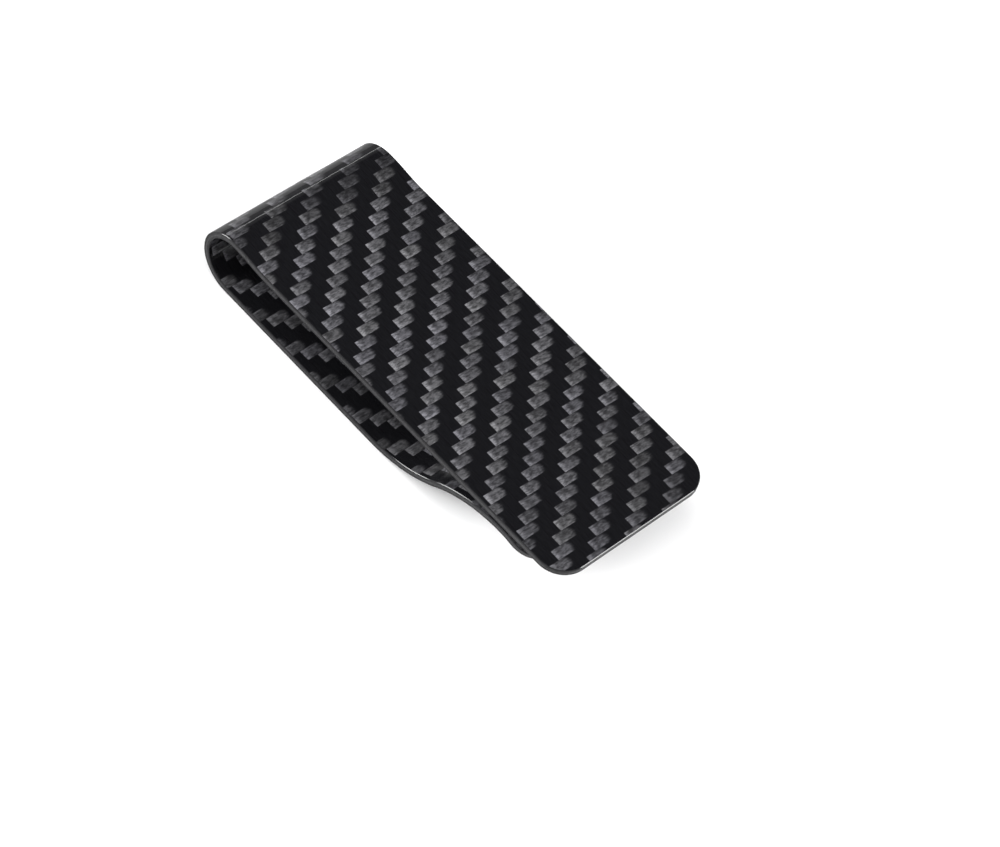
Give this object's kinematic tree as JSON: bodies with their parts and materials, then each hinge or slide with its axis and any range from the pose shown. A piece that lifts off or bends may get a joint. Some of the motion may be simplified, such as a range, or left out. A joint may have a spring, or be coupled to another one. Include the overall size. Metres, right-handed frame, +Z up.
{
  "type": "money clip",
  "caption": "U-shaped spring clip of 2x2 twill carbon fibre with a flat upper arm, a round bend and a stepped lower arm that pinches folded banknotes and cards.",
  "frame": {"origin": "middle of the clip's bounding box, on the surface that its lower arm rests on", "axes": "+X along the clip from the bend to the tip, +Y across its width, +Z up through the jaw towards the flat upper arm"},
  "size_m": [0.0676, 0.0268, 0.0102],
  "materials": {
    "twill_face": "2x2 twill carbon fibre under a clear gloss resin coat",
    "laminate_core": "cut and polished edge of unidirectional carbon fibre plies"
  },
  "bodies": {
    "lower_arm": {"lower_outer_twill_ply": "twill_face", "lower_outer_spring_ply": "laminate_core", "lower_cross_ply": "laminate_core", "lower_inner_spring_ply": "laminate_core", "lower_inner_twill_ply": "twill_face"},
    "upper_arm": {"upper_outer_twill_ply": "twill_face", "upper_outer_spring_ply": "laminate_core", "upper_cross_ply": "laminate_core", "upper_inner_spring_ply": "laminate_core", "upper_inner_twill_ply": "twill_face"}
  },
  "joints": [
    {"name": "jaw_flex", "type": "hinge", "parent": "lower_arm", "child": "upper_arm", "pos_m": [-0.0333, 0, 0.0051], "axis": [0, -1, 0], "range_deg": [0, 10], "stiffness_Nm_per_rad": 2.6}
  ]
}
